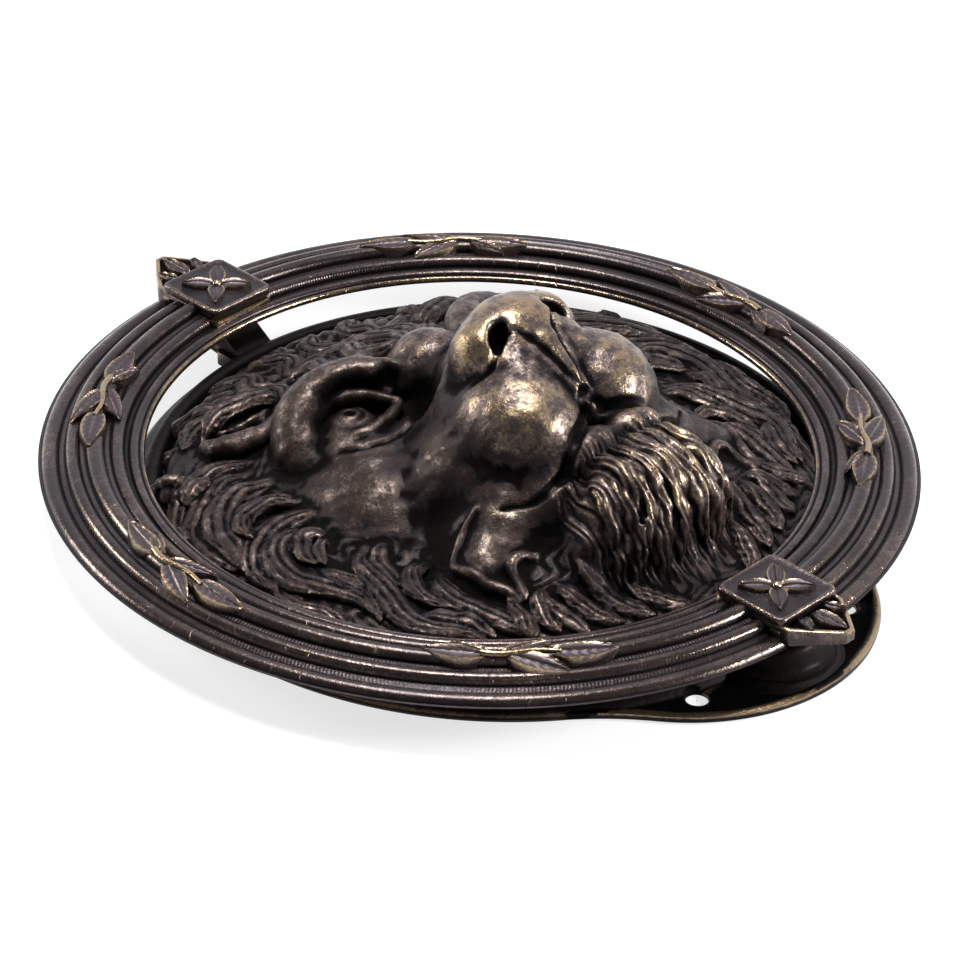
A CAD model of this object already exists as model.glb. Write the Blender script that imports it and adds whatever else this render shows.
"""Looks of the lion-mask door knocker: a cast bronze face on a round plate, with a reeded ring that
hangs from the top of the plate and strikes an anvil at the bottom. Lengths are in millimetres until
a piece is made, because the castings were drawn in millimetres; Blender gets metres."""

import math

import bpy
import numpy as np
from mathutils import Matrix, Vector


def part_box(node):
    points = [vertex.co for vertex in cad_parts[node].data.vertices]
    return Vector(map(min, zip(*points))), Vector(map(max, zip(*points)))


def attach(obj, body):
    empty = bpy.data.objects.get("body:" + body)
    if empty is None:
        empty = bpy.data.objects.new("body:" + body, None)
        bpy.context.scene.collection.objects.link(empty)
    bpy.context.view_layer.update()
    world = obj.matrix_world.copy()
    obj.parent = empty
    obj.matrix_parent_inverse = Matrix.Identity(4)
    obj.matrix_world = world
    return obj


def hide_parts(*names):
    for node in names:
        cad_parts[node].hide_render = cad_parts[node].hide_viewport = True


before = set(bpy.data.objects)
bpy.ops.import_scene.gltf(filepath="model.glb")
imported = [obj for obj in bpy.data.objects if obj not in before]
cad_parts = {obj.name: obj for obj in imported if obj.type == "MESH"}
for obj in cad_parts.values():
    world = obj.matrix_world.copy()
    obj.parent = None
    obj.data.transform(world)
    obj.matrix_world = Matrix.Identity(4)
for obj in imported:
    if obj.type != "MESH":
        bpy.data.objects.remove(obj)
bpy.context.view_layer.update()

MM = 0.001


def cad_box(node):
    """A CAD node's lowest and highest corners in millimetres."""
    low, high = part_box(node)
    return np.array(low) / MM, np.array(high) / MM


# ---------------------------------------------------------------- camera

CAMERA_TURN = math.radians(-46.82)
CAMERA_RISE = math.radians(32.85)
CAMERA_ROLL = math.radians(1.84)
CAMERA_REACH = 0.8372
CAMERA_AIM = Vector((-0.00877, -0.00846, 0.0114))
SENSOR = 36.0
LENS = 147.1


def make_camera():
    back = Vector((math.sin(CAMERA_TURN) * math.cos(CAMERA_RISE),
                   -math.cos(CAMERA_TURN) * math.cos(CAMERA_RISE), math.sin(CAMERA_RISE)))
    right = Vector((math.cos(CAMERA_TURN), math.sin(CAMERA_TURN), 0))
    up = back.cross(right)
    across = right * math.cos(CAMERA_ROLL) + up * math.sin(CAMERA_ROLL)
    upward = up * math.cos(CAMERA_ROLL) - right * math.sin(CAMERA_ROLL)
    data = bpy.data.cameras.new("camera")
    data.sensor_width, data.lens = SENSOR, LENS
    data.clip_start, data.clip_end = 0.01, 20
    camera = bpy.data.objects.new("camera", data)
    bpy.context.scene.collection.objects.link(camera)
    turn = Matrix((across, upward, back)).transposed().to_4x4()
    camera.matrix_world = Matrix.Translation(CAMERA_AIM + back * CAMERA_REACH) @ turn
    bpy.context.scene.camera = camera


make_camera()

# ---------------------------------------------------------------- meshes

def spread(values, first, second, rounds):
    """Values averaged over each point's neighbours, again and again."""
    count = np.maximum(np.bincount(first, minlength=len(values)) + np.bincount(second, minlength=len(values)), 1)
    for _ in range(rounds):
        new = np.zeros_like(values)
        for k in range(values.shape[1]):
            new[:, k] = (np.bincount(first, values[second, k], len(values))
                         + np.bincount(second, values[first, k], len(values)))
        values = new / count[:, None]
    return values


WEAR_DEPTH = 0.14                 # how proud of its surroundings, as a share of their width, a point is fully worn


def mark_wear(mesh, size, walls):
    """Stores on each point how far it stands proud of its surroundings, from -1 in a hollow to 1 on
    an edge that faces up. size is how wide those surroundings are, in metres, and walls is the
    share of its wear that an upright edge keeps."""
    points = np.empty(len(mesh.vertices) * 3)
    mesh.vertices.foreach_get("co", points)
    points = points.reshape(-1, 3)
    edges = np.empty(len(mesh.edges) * 2, np.int64)
    mesh.edges.foreach_get("vertices", edges)
    first, second = edges.reshape(-1, 2).T
    normals = np.empty(len(mesh.vertices) * 3)
    mesh.vertices.foreach_get("normal", normals)
    normals = normals.reshape(-1, 3)
    step = np.median(np.linalg.norm(points[first] - points[second], axis=1))
    fine = int(np.clip((size / step) ** 2 * 0.35, 2, 60))
    proud = np.zeros(len(points))
    for rounds, share in ((fine, 0.7), (fine * 5, 0.3)):
        smooth = spread(points, first, second, rounds)
        height = ((points - smooth) * normals).sum(1)
        proud += share * np.clip(height / (WEAR_DEPTH * size), -1.5, 1.5)
    proud = spread(proud[:, None], first, second, 1)[:, 0]
    up = np.clip((normals[:, 2] - 0.1) / 0.5, 0, 1)
    proud = np.where(proud > 0, proud * (walls + (1 - walls) * up), proud)
    layer = mesh.attributes.new("wear", "FLOAT", "POINT")
    layer.data.foreach_set("value", np.clip(proud, -1, 1).astype(np.float32))


def change_wear(piece, change):
    """Changes the wear stored on a piece. change takes its points in millimetres and their wear."""
    points = np.array([v.co for v in piece.data.vertices]) / MM
    layer = piece.data.attributes["wear"].data
    wear = np.empty(len(points))
    layer.foreach_get("value", wear)
    layer.foreach_set("value", change(points, wear).astype(np.float32))


def new_object(name, points, faces):
    """A mesh object from points in millimetres and faces of any size."""
    mesh = bpy.data.meshes.new(name)
    sizes = [len(f) for f in faces]
    mesh.vertices.add(len(points))
    mesh.vertices.foreach_set("co", (np.asarray(points, float) * MM).astype(np.float32).ravel())
    mesh.loops.add(sum(sizes))
    mesh.loops.foreach_set("vertex_index", np.concatenate([np.asarray(f, np.int32) for f in faces]))
    mesh.polygons.add(len(sizes))
    mesh.polygons.foreach_set("loop_start", np.r_[0, np.cumsum(sizes)[:-1]].astype(np.int32))
    mesh.update(calc_edges=True)
    thing = bpy.data.objects.new(name, mesh)
    bpy.context.scene.collection.objects.link(thing)
    return thing


def make_piece(name, points, faces, material, body, slot, stands_for, wear=1.2, sharp=None):
    """A mesh in millimetres becomes a piece that rides on a body and stands for CAD nodes."""
    piece = new_object(name, points, faces)
    finish_piece(piece, material, body, slot, stands_for, wear, sharp)
    return piece


def finish_piece(piece, material, body, slot, stands_for, wear=1.2, sharp=None, walls=0.1):
    mesh = piece.data
    mesh.polygons.foreach_set("use_smooth", [True] * len(mesh.polygons))
    if sharp is not None:
        mesh.set_sharp_from_angle(angle=math.radians(sharp))
    mark_wear(mesh, wear * MM, walls)
    mesh.materials.clear()
    mesh.materials.append(material)
    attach(piece, body)
    if stands_for:
        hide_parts(*stands_for)


def apply_modifiers(piece):
    """Makes what the modifiers show the piece's own mesh."""
    bpy.context.view_layer.update()
    graph = bpy.context.evaluated_depsgraph_get()
    shown = bpy.data.meshes.new_from_object(piece.evaluated_get(graph))
    old = piece.data
    piece.modifiers.clear()
    piece.data = shown
    bpy.data.meshes.remove(old)


def smooth_path(points, count):
    """count points evenly along a Catmull-Rom curve through the given ones."""
    p = np.array(points, float)
    p = np.vstack([2 * p[0] - p[1], p, 2 * p[-1] - p[-2]])
    dense = []
    for i in range(1, len(p) - 2):
        t = np.linspace(0, 1, 24, endpoint=False)[:, None]
        a, b, c, d = p[i - 1], p[i], p[i + 1], p[i + 2]
        dense.append(0.5 * (2 * b + (c - a) * t + (2 * a - 5 * b + 4 * c - d) * t ** 2
                            + (3 * b - a - 3 * c + d) * t ** 3))
    dense = np.vstack(dense + [p[-2][None]])
    steps = np.r_[0, np.cumsum(np.linalg.norm(np.diff(dense, axis=0), axis=1))]
    where = np.linspace(0, steps[-1], count)
    return np.stack([np.interp(where, steps, dense[:, k]) for k in range(p.shape[1])], 1)


def swept(profile, angles, closed):
    """A closed (radius, height) outline turned about Z through the given angles."""
    profile, angles = np.array(profile, float), np.array(angles, float)
    n, m = len(profile), len(angles)
    points = np.stack([np.outer(np.cos(angles), profile[:, 0]), np.outer(np.sin(angles), profile[:, 0]),
                       np.tile(profile[:, 1], (m, 1))], 2).reshape(-1, 3)
    faces = []
    for i in range(m if closed else m - 1):
        a, b = i * n, ((i + 1) % m) * n
        for j in range(n):
            k = (j + 1) % n
            faces.append((a + j, b + j, b + k, a + k))
    if not closed:
        faces.append(tuple(range(n)))
        faces.append(tuple(range((m - 1) * n + n - 1, (m - 1) * n - 1, -1)))
    return points, faces

def join_solids(solids):
    """Several (points, faces) as one."""
    points, faces, count = [], [], 0
    for some, few in solids:
        points.append(np.asarray(some, float))
        faces += [[i + count for i in face] for face in few]
        count += len(some)
    return np.vstack(points), faces


def facing_out(points, faces):
    """The same solid with its faces turned outward."""
    volume = 0.0
    for face in faces:
        corner = points[face[0]]
        for a, b in zip(face[1:-1], face[2:]):
            volume += np.dot(corner, np.cross(points[a], points[b]))
    return (points, faces) if volume > 0 else (points, [list(face)[::-1] for face in faces])


def stack(loops):
    """A solid skinned over closed loops of equally many points, with a flat cap at each end."""
    n = len(loops[0])
    points = np.vstack([np.asarray(loop, float) for loop in loops])
    faces = []
    for i in range(len(loops) - 1):
        a, b = i * n, (i + 1) * n
        faces += [(a + j, a + (j + 1) % n, b + (j + 1) % n, b + j) for j in range(n)]
    last = (len(loops) - 1) * n
    faces.append(tuple(reversed(range(n))))
    faces.append(tuple(range(last, last + n)))
    return facing_out(points, faces)


def at_height(loop, z):
    """A plan loop as 3-D points at one height or at a height for each point."""
    loop = np.asarray(loop, float)
    return np.column_stack([loop[:, 0], loop[:, 1], np.broadcast_to(z, len(loop))])


def inset(loop, distance):
    """A convex counter-clockwise loop moved inward."""
    p = np.asarray(loop, float)
    ahead, back = np.roll(p, -1, 0) - p, p - np.roll(p, 1, 0)
    ahead /= np.linalg.norm(ahead, axis=1)[:, None]
    back /= np.linalg.norm(back, axis=1)[:, None]
    inward = np.column_stack([-(ahead + back)[:, 1], (ahead + back)[:, 0]])
    inward /= np.linalg.norm(inward, axis=1)[:, None]
    slant = inward[:, 0] * -ahead[:, 1] + inward[:, 1] * ahead[:, 0]
    return p + inward * (distance / np.maximum(slant, 0.3))[:, None]


def finer(loop, step):
    """A closed loop with extra points, so that its sides are at most step long."""
    p = np.asarray(loop, float)
    out = []
    for a, b in zip(p, np.roll(p, -1, 0)):
        pieces = max(1, int(np.ceil(np.linalg.norm(b - a) / step)))
        out += [a + (b - a) * k / pieces for k in range(pieces)]
    return np.array(out)


def rounded_square(side, corner, steps=8):
    middle = side / 2 - corner
    loop = []
    for quarter, (x, y) in enumerate([(1, 1), (-1, 1), (-1, -1), (1, -1)]):
        for angle in np.linspace(0, math.pi / 2, steps) + quarter * math.pi / 2:
            loop.append((x * middle + corner * math.cos(angle), y * middle + corner * math.sin(angle)))
    return np.array(loop)


def tube(line, radii, sides=10):
    """A round bar along a line that runs more or less level."""
    line = np.asarray(line, float)
    along = np.gradient(line, axis=0)
    along /= np.linalg.norm(along, axis=1)[:, None]
    side = np.cross(along, (0, 0, 1.0))
    side /= np.linalg.norm(side, axis=1)[:, None]
    up = np.cross(side, along)
    turns = np.arange(sides) * 2 * math.pi / sides
    loops = [p + r * (np.outer(np.cos(turns), s) + np.outer(np.sin(turns), u))
             for p, r, s, u in zip(line, radii, side, up)]
    return stack(loops)


LEAF_ACROSS = np.array([-1, -0.97, -0.88, -0.74, -0.58, -0.38, -0.2, -0.09])
LEAF_LIFT = np.array([-0.5, 0.1, 0.72, 0.6, 0.42, 0.4, 0.48, 0.6])
VEIN_LIFT = 0.86


def leaf(place, length, width, depth=2.2, veins=7, steps=34):
    """A pointed leaf with a raised edge and a raised middle vein. place(t, s) gives the surface
    point at t along the leaf and s across it."""
    across = np.r_[LEAF_ACROSS, 0, -LEAF_ACROSS[::-1]]
    lift = np.r_[LEAF_LIFT, VEIN_LIFT, LEAF_LIFT[::-1]]
    loops = []
    for u in np.linspace(0.015, 0.985, steps):
        half = width / 2 * (math.sin(math.pi * u ** 0.82) ** 0.8 * (1 - 0.25 * u) + 0.06)
        ripple = 0.07 * np.sin(2 * math.pi * (veins * u - 1.3 * np.abs(across)))
        ripple = ripple * (np.abs(across) < 0.8) * (np.abs(across) > 0.1)
        ends = min(1.0, 8 * u, 8 * (1 - u) + 0.35)
        points = [place(u * length, s * half) for s in across]
        top = [(x, y, z + (h + r) * (ends if h > 0 else 1)) for (x, y, z), h, r in zip(points, lift, ripple)]
        low = [(points[k][0], points[k][1], points[k][2] - depth) for k in (-1, 0)]
        loops.append(top + low)
    return stack(loops)

# ---------------------------------------------------------------- clay

class Clay:
    """The left half of a symmetrical solid, as a grid of signed distances in millimetres."""

    def __init__(self, low, high, pitch):
        columns = math.ceil(-low[0] / pitch)
        self.pitch = pitch
        self.low = np.array((-(columns + 0.5) * pitch, low[1], low[2]))
        counts = [int(round((b - a) / pitch)) + 1 for a, b in zip(self.low, high)]
        self.axes = [a + pitch * np.arange(n, dtype=np.float32) for a, n in zip(self.low, counts)]
        self.field = np.full(counts, 10.0, np.float32)

    def shape(self, low, high, measure, blend, carve=False):
        """Adds or carves one shape, given by its box and its distance function."""
        reach = blend + 1.5
        cuts, places = [], []
        for axis, a, b in zip(self.axes, low, high):
            first, last = np.searchsorted(axis, [a - reach, b + reach])
            cuts.append(slice(first, max(last, first)))
            places.append(axis[first:last])
        cuts = tuple(cuts)
        old = self.field[cuts]
        if old.size == 0:
            return
        x, y, z = places
        distance = measure(x[:, None, None], y[None, :, None], z[None, None, :])
        if carve:
            near = np.maximum(blend - np.abs(old + distance), 0) / blend
            self.field[cuts] = np.maximum(old, -distance) + near * near * blend / 4
        else:
            near = np.maximum(blend - np.abs(old - distance), 0) / blend
            self.field[cuts] = np.minimum(old, distance) - near * near * blend / 4

    def ball(self, centre, radii, blend=3.0, tilt=(0, 0, 0), carve=False):
        """An ellipsoid, and its mirror image, melted into the solid or carved out of it."""
        for side in (1, -1):
            middle = np.array(centre, float) * (side, 1, 1)
            axes = np.diag([side, 1, 1]) @ turn_matrix(tilt)
            reach = np.sqrt(((axes * np.array(radii)) ** 2).sum(1))

            def measure(x, y, z, middle=middle, axes=axes):
                dx, dy, dz = x - middle[0], y - middle[1], z - middle[2]
                inner, outer = 0, 0
                for k, radius in enumerate(radii):
                    part = (dx * axes[0, k] + dy * axes[1, k] + dz * axes[2, k]) / radius
                    inner = inner + part * part
                    outer = outer + (part / radius) ** 2
                inner, outer = np.sqrt(inner) + 1e-6, np.sqrt(outer) + 1e-6
                return inner * (inner - 1) / outer

            self.shape(middle - reach, middle + reach, measure, blend, carve)

    def rope(self, points, radii, blend=1.0, flat=1.0, carve=False):
        """A tapering tube along 3-D points, flat times as wide as it is high, and its mirror image."""
        stretch = np.array([1, 1, flat])
        for side in (1, -1):
            line = np.array(points, float) * (side, 1, 1)
            if side == -1 and (line[:, 0] - max(radii)).min() > 3 + blend:
                continue
            reach = max(radii) / stretch

            def measure(x, y, z, line=line):
                whole = np.full(np.broadcast_shapes(x.shape, y.shape, z.shape), 99.0, np.float32)
                for a, b, start, end in zip(line[:-1], line[1:], radii[:-1], radii[1:]):
                    edge = max(start, end) / stretch + blend + 1.5
                    low, high = np.minimum(a, b) - edge, np.maximum(a, b) + edge
                    cuts = tuple(slice(*np.searchsorted(axis.ravel(), [p, q]))
                                 for axis, p, q in zip((x, y, z), low, high))
                    if whole[cuts].size == 0:
                        continue
                    along = (b - a) * stretch
                    span = max(float(along @ along), 1e-9)
                    dx, dy, dz = x[cuts[0]] - a[0], y[:, cuts[1]] - a[1], (z[:, :, cuts[2]] - a[2]) * flat
                    t = np.clip((dx * along[0] + dy * along[1] + dz * along[2]) / span, 0, 1)
                    dx, dy, dz = dx - t * along[0], dy - t * along[1], dz - t * along[2]
                    gap = np.sqrt(dx * dx + dy * dy + dz * dz) - (start + (end - start) * t)
                    whole[cuts] = np.minimum(whole[cuts], gap)
                return whole

            self.shape(line.min(0) - reach, line.max(0) + reach, measure, blend, carve)

    def surface_at(self, plan):
        """The solid's height at each of these plan points."""
        ground = self.height()
        spots = []
        for axis, values in ((self.axes[0], plan[:, 0]), (self.axes[1], plan[:, 1])):
            spots.append(np.clip((values - axis[0]) / self.pitch, 0, len(axis) - 1.001))
        i, j = (spot.astype(int) for spot in spots)
        u, v = spots[0] - i, spots[1] - j
        return ((ground[i, j] * (1 - u) + ground[i + 1, j] * u) * (1 - v)
                + (ground[i, j + 1] * (1 - u) + ground[i + 1, j + 1] * u) * v)

    def groove(self, plan, radii, blend=0.5):
        """A round groove cut along the surface under these plan points."""
        path = smooth_path(plan, len(radii))
        self.rope(np.column_stack([path, self.surface_at(path)]), radii, blend, carve=True)

    def height(self):
        """The top of the solid over each point of the plan."""
        solid = self.field < 0
        top = solid.shape[2] - 1 - np.argmax(solid[:, :, ::-1], axis=2)
        i, j = np.indices(top.shape)
        below = self.field[i, j, top]
        above = self.field[i, j, np.minimum(top + 1, solid.shape[2] - 1)]
        part = np.where(above > below, -below / np.maximum(above - below, 1e-6), 0)
        return np.where(solid.any(axis=2), self.axes[2][top] + self.pitch * part, self.low[2])


def turn_matrix(degrees):
    """The rotation by these angles about x, then y, then z."""
    ax, ay, az = (math.radians(d) for d in degrees)
    rx = np.array([[1, 0, 0], [0, math.cos(ax), -math.sin(ax)], [0, math.sin(ax), math.cos(ax)]])
    ry = np.array([[math.cos(ay), 0, math.sin(ay)], [0, 1, 0], [-math.sin(ay), 0, math.cos(ay)]])
    rz = np.array([[math.cos(az), -math.sin(az), 0], [math.sin(az), math.cos(az), 0], [0, 0, 1]])
    return rz @ ry @ rx


def surface_net(field, low, pitch):
    """The zero surface of a grid as points and quads that face outward."""
    inside = field < 0
    corners = [(i, j, k) for i in (0, 1) for j in (0, 1) for k in (0, 1)]
    nx, ny, nz = (n - 1 for n in field.shape)
    total = np.zeros((nx, ny, nz), np.int8)
    for i, j, k in corners:
        total += inside[i:i + nx, j:j + ny, k:k + nz]
    cells = np.argwhere((total > 0) & (total < 8))
    number = np.full((nx, ny, nz), -1, np.int32)
    number[tuple(cells.T)] = np.arange(len(cells))
    value = {c: field[cells[:, 0] + c[0], cells[:, 1] + c[1], cells[:, 2] + c[2]] for c in corners}
    where = np.zeros((len(cells), 3))
    hits = np.zeros(len(cells))
    for a in corners:
        for axis in range(3):
            if a[axis]:
                continue
            b = tuple(1 if n == axis else a[n] for n in range(3))
            cross = (value[a] < 0) != (value[b] < 0)
            t = np.where(cross, value[a] / np.where(cross, value[a] - value[b], 1), 0)
            for n in range(3):
                where[:, n] += np.where(cross, a[n] + (t if n == axis else 0), 0)
            hits += cross
    points = np.array(low) + pitch * (cells + where / hits[:, None])
    quads = []
    for axis in range(3):
        other = [n for n in range(3) if n != axis]
        first = [slice(1, -1)] * 3
        first[axis] = slice(0, -1)
        second = list(first)
        second[axis] = slice(1, None)
        a, b = inside[tuple(first)], inside[tuple(second)]
        edge = np.argwhere(a != b)
        flip = b[tuple(edge.T)]
        edge = edge + [0 if n == axis else 1 for n in range(3)]
        ring = []
        for du, dv in ((-1, -1), (0, -1), (0, 0), (-1, 0)):
            cell = edge.copy()
            cell[:, other[0]] += du
            cell[:, other[1]] += dv
            ring.append(number[tuple(cell.T)])
        ring = np.stack(ring, 1)
        if axis == 1:
            flip = ~flip
        ring[flip] = ring[flip][:, ::-1]
        quads.append(ring)
    return points, np.vstack(quads)

# ---------------------------------------------------------------- materials

class Nodes:
    """Short calls that add nodes to one material."""

    def __init__(self, name):
        self.material = bpy.data.materials.new(name)
        self.material.use_nodes = True
        self.tree = self.material.node_tree
        self.shader = self.tree.nodes["Principled BSDF"]
        self.place = self.tree.nodes.new("ShaderNodeTexCoord").outputs["Object"]

    def link(self, source, target):
        if isinstance(source, (int, float, tuple)):
            target.default_value = source
        else:
            self.tree.links.new(source, target)

    def noise(self, scale, detail=4.0, roughness=0.55, place=None):
        node = self.tree.nodes.new("ShaderNodeTexNoise")
        node.inputs["Scale"].default_value = scale
        node.inputs["Detail"].default_value = detail
        node.inputs["Roughness"].default_value = roughness
        self.link(place or self.place, node.inputs["Vector"])
        return node.outputs["Fac"]

    def cells(self, scale):
        node = self.tree.nodes.new("ShaderNodeTexVoronoi")
        node.inputs["Scale"].default_value = scale
        self.link(self.place, node.inputs["Vector"])
        return node.outputs["Distance"]

    def math(self, operation, a, b=0.0, clamp=False):
        node = self.tree.nodes.new("ShaderNodeMath")
        node.operation, node.use_clamp = operation, clamp
        self.link(a, node.inputs[0])
        self.link(b, node.inputs[1])
        return node.outputs[0]

    def scaled(self, value, gain, offset=0.0):
        return self.math("ADD", self.math("MULTIPLY", value, gain), offset)

    def span(self, value, low, high, to_low=0.0, to_high=1.0):
        node = self.tree.nodes.new("ShaderNodeMapRange")
        node.interpolation_type = "SMOOTHSTEP"
        self.link(value, node.inputs["Value"])
        for name, number in (("From Min", low), ("From Max", high), ("To Min", to_low), ("To Max", to_high)):
            node.inputs[name].default_value = number
        return node.outputs["Result"]

    def mix(self, factor, a, b):
        node = self.tree.nodes.new("ShaderNodeMix")
        node.data_type = "RGBA"
        self.link(factor, node.inputs["Factor"])
        self.link(a, node.inputs[6])
        self.link(b, node.inputs[7])
        return node.outputs[2]

    def attribute(self, name):
        node = self.tree.nodes.new("ShaderNodeAttribute")
        node.attribute_name = name
        return node.outputs["Fac"]

    def axis(self, letter):
        node = self.tree.nodes.new("ShaderNodeSeparateXYZ")
        self.link(self.place, node.inputs[0])
        return node.outputs[letter]

    def bump(self, height, distance, strength=1.0):
        node = self.tree.nodes.new("ShaderNodeBump")
        node.inputs["Strength"].default_value = strength
        node.inputs["Distance"].default_value = distance
        self.link(height, node.inputs["Height"])
        self.link(node.outputs["Normal"], self.shader.inputs["Normal"])


DARK = (0.025, 0.0202, 0.0232, 1)
BROWN = (0.052, 0.038, 0.031, 1)
WORN = (0.105, 0.082, 0.075, 1)
GRIME = (0.003, 0.0024, 0.0022, 1)
GOLD = (0.34, 0.25, 0.135, 1)


def toned(colour, tone):
    return tuple(c * tone for c in colour[:3]) + (1,)


def patina(name, rubbed=0.0, mottle=0.35, edge=0.9, rise=None, marks=None, rough=0.36, grime=1.0,
           tone=1.0, texture=1.0, gilt=0.75,
           coat=0.03):
    """Dark bronze patina, rubbed to a golden brown along edges and, by rubbed, all over.
    rise is the height span in metres over which a casting gets more hand wear. marks adds to the
    bump height, in metres."""
    n = Nodes(name)
    wear = n.attribute("wear")
    specks = n.noise(1500, 5, 0.65)
    patches = n.noise(330, 6, 0.66)
    clouds = n.noise(60, 4, 0.6)
    grain = n.noise(2600, 3, 0.6)
    amount = n.scaled(wear, edge, rubbed)
    amount = n.math("ADD", amount, n.scaled(patches, 2.4 * mottle, -1.2 * mottle))
    amount = n.math("ADD", amount, n.scaled(specks, 1.1, -0.55))
    amount = n.math("ADD", amount, n.scaled(clouds, 1.2, -0.6))
    if rise:
        amount = n.math("ADD", amount, n.span(n.axis("Z"), rise[0], rise[1], 0, 0.46))
    worn = n.span(amount, 0.05, 0.65)
    gold = n.scaled(n.span(n.math("ADD", amount, n.scaled(n.noise(900, 4, 0.7), 0.5, -0.25)), 0.5, 0.85), gilt)
    brown = n.span(n.math("ADD", n.scaled(wear, 0.5), clouds), 0.3, 0.95)
    hollow = n.scaled(n.span(n.math("ADD", wear, n.scaled(grain, 0.3, -0.15)), -0.05, -0.5), grime)
    colour = n.mix(brown, toned(DARK, tone), toned(BROWN, tone))
    colour = n.mix(worn, colour, WORN)
    colour = n.mix(gold, colour, GOLD)
    colour = n.mix(hollow, colour, GRIME)
    n.link(colour, n.shader.inputs["Base Color"])
    roughness = n.math("ADD", n.scaled(grain, 0.24, rough - 0.12), n.scaled(hollow, 0.25))
    roughness = n.math("ADD", roughness, n.scaled(n.noise(160, 3), 0.2, -0.1))
    roughness = n.math("ADD", roughness, n.scaled(worn, -0.2))
    n.link(roughness, n.shader.inputs["Roughness"])
    n.shader.inputs["Metallic"].default_value = 0.9
    n.shader.inputs["Specular IOR Level"].default_value = 0.2
    n.link(n.scaled(hollow, -coat, coat), n.shader.inputs["Coat Weight"])
    n.shader.inputs["Coat Roughness"].default_value = 0.22
    height = n.math("ADD", n.scaled(grain, 0.00008 * texture), n.scaled(n.noise(600, 5), 0.00022 * texture))
    if marks:
        height = n.math("ADD", height, marks(n))
    n.bump(height, 1.0, 0.9)
    return n.material


def plain_metal(name, colour, worn, rough):
    """Turned steel or brass that is mostly hidden: fine turning marks and a film of tarnish."""
    n = Nodes(name)
    tarnish = n.span(n.noise(260, 5, 0.6), 0.35, 0.72)
    n.link(n.mix(tarnish, worn, colour), n.shader.inputs["Base Color"])
    n.link(n.scaled(n.noise(900, 3), 0.25, rough - 0.12), n.shader.inputs["Roughness"])
    n.shader.inputs["Metallic"].default_value = 0.95
    rings = n.tree.nodes.new("ShaderNodeTexWave")
    rings.wave_type, rings.rings_direction = "RINGS", "SPHERICAL"
    rings.inputs["Scale"].default_value = 900
    rings.inputs["Distortion"].default_value = 2
    n.link(n.place, rings.inputs["Vector"])
    n.bump(n.scaled(rings.outputs["Fac"], 0.00002), 1.0, 0.6)
    return n.material


TICKS_AROUND = 720                # tiny cross ribs in the grooves between the reeds
TICK_DEPTH = 0.000022
TICK_BANDS = [0.0855, 0.0803, 0.0896, 0.0763]


def ring_marks(n):
    """Cross ribs in the grooves, and now and then a nick across the reeds."""
    radius = n.math("SQRT", n.math("ADD", n.math("POWER", n.axis("X"), 2), n.math("POWER", n.axis("Y"), 2)))
    angle = n.math("ARCTAN2", n.axis("Y"), n.axis("X"))
    ribs = n.math("SINE", n.math("MULTIPLY", angle, TICKS_AROUND))
    band = 0.0
    for middle in TICK_BANDS:
        off = n.math("ABSOLUTE", n.math("SUBTRACT", radius, middle))
        band = n.math("ADD", band, n.span(off, 0.0009, 0.0005))
    uneven = n.noise(500, 2)
    ribs = n.math("MULTIPLY", n.math("MULTIPLY", ribs, band), n.scaled(uneven, 2 * TICK_DEPTH))
    nick = n.math("SINE", n.math("ADD", n.math("MULTIPLY", angle, 90), n.scaled(n.noise(90, 2), 9)))
    nick = n.math("MULTIPLY", n.span(nick, 0.985, 1.0), n.span(n.noise(60, 2), 0.5, 0.6))
    return n.math("ADD", ribs, n.scaled(nick, -0.00015))


def stipple(n):
    """Punched dots, as in the ground round a flower."""
    return n.scaled(n.cells(1100), 0.0001)


HEAD_BRONZE = patina("head_bronze", tone=0.58, rough=0.5, rubbed=-0.22, mottle=0.75, edge=0.6, rise=(0.027, 0.048),
                     gilt=0.52)
RING_BRONZE = patina("ring_bronze", rubbed=0.0, mottle=0.4, edge=1.0, marks=ring_marks, rough=0.29, texture=0.5,
                     coat=0.15)
PLAQUE_BRONZE = patina("plaque_bronze", tone=1.25, rubbed=-0.05, mottle=0.4, edge=0.6, marks=stipple, grime=0.3,
                       coat=0.12)
ORNAMENT_BRONZE = patina("ornament_bronze", tone=2.2, rubbed=0.0, mottle=0.35, edge=0.9, grime=0.25, coat=0.1)
PLATE_BRONZE = patina("plate_bronze", tone=0.36, rubbed=-0.4, mottle=0.3, edge=1.3, rough=0.42)
STRIKE_BRONZE = patina("strike_bronze", tone=0.15, rubbed=-0.7, mottle=0.3, edge=0.5, rough=0.6)
STEEL = plain_metal("screw_steel", (0.24, 0.22, 0.20, 1), (0.42, 0.41, 0.39, 1), 0.4)

# ---------------------------------------------------------------- lion head

HEAD_PITCH = 0.3
HEAD_LOW = (-74.0, -80.0, 3.2)
HEAD_HIGH = (3.0, 70.0, 56.0)
HEAD_FOOT = 4.3
HEAD_TRIANGLES = 195000
MANE_Y, MANE_RADIUS = -4.6, 71.0


def along(count, *stops):
    """Values that pass through the stops, evenly spaced or given as (share, value)."""
    pairs = stops if isinstance(stops[0], tuple) else list(zip(np.linspace(0, 1, len(stops)), stops))
    return np.interp(np.linspace(0, 1, count), *zip(*pairs))


def mane_cushion(x, y, z):
    """A round cushion with a flat top and a full edge."""
    r = np.hypot(x, y - MANE_Y)
    top = 5.2 + 7.2 * np.sqrt(np.clip(1 - (r / MANE_RADIUS) ** 5, 0, 1))
    return np.maximum(z - top, r - MANE_RADIUS) * 0.85


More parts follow.
